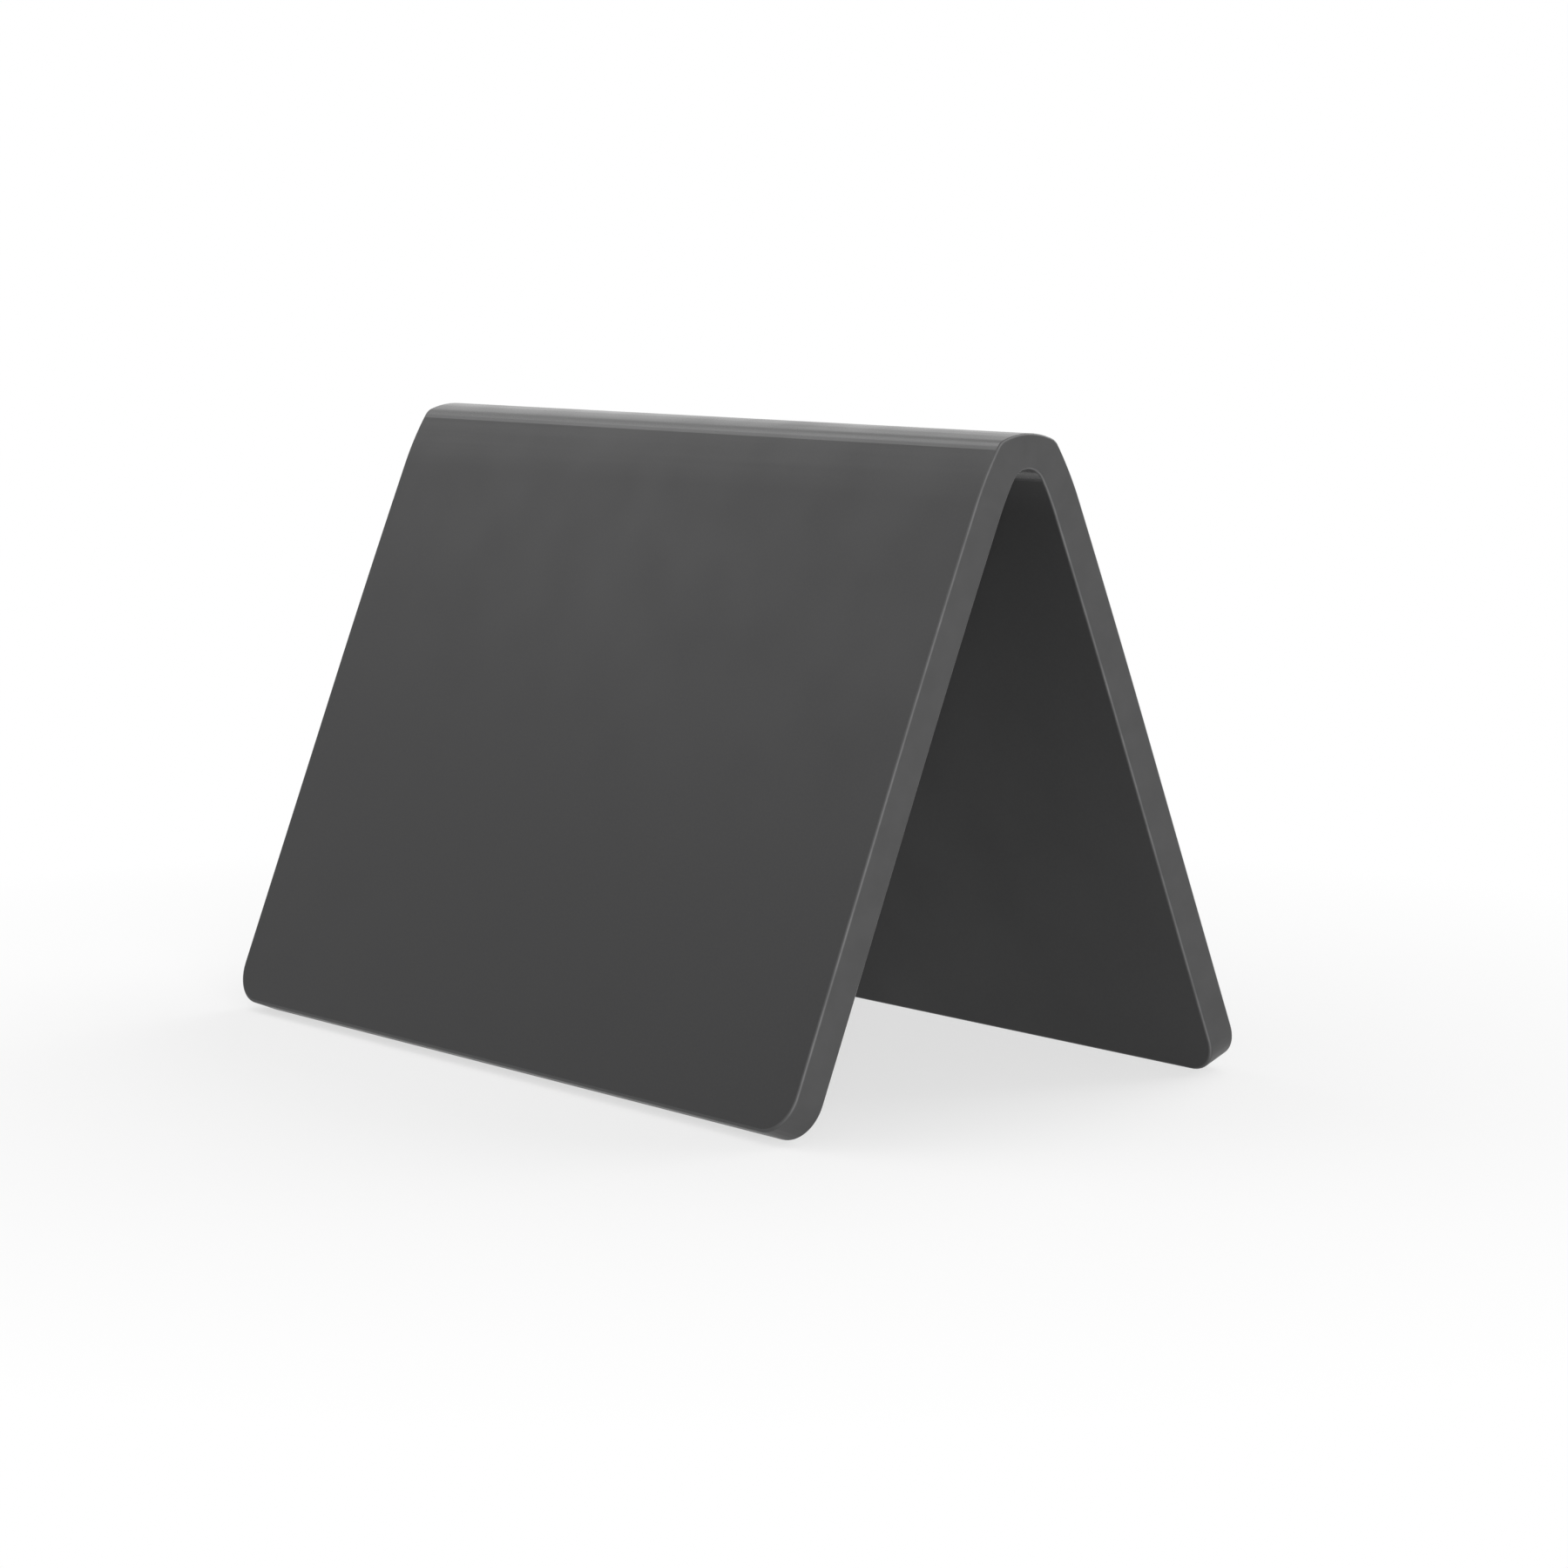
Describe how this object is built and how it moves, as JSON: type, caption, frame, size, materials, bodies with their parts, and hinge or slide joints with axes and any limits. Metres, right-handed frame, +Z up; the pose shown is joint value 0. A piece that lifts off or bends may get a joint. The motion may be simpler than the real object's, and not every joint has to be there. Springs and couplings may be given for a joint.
{
  "type": "mini chalkboard",
  "caption": "Small dark tabletop writing board: a plastic sheet bent over its middle into an inverted V, whose legs are the writing faces and whose lower edges are the feet.",
  "frame": {"origin": "on the table, midway between the two feet and midway between the two ends", "axes": "+X along the ridge, -Y towards the front face, +Z up"},
  "size_m": [0.083, 0.0524, 0.0572],
  "materials": {
    "sheet": "dark charcoal grey, coloured all through, satin matte, with fine grain on the writing faces"
  },
  "bodies": {
    "root": {"bent_board": "sheet"}
  },
  "joints": []
}
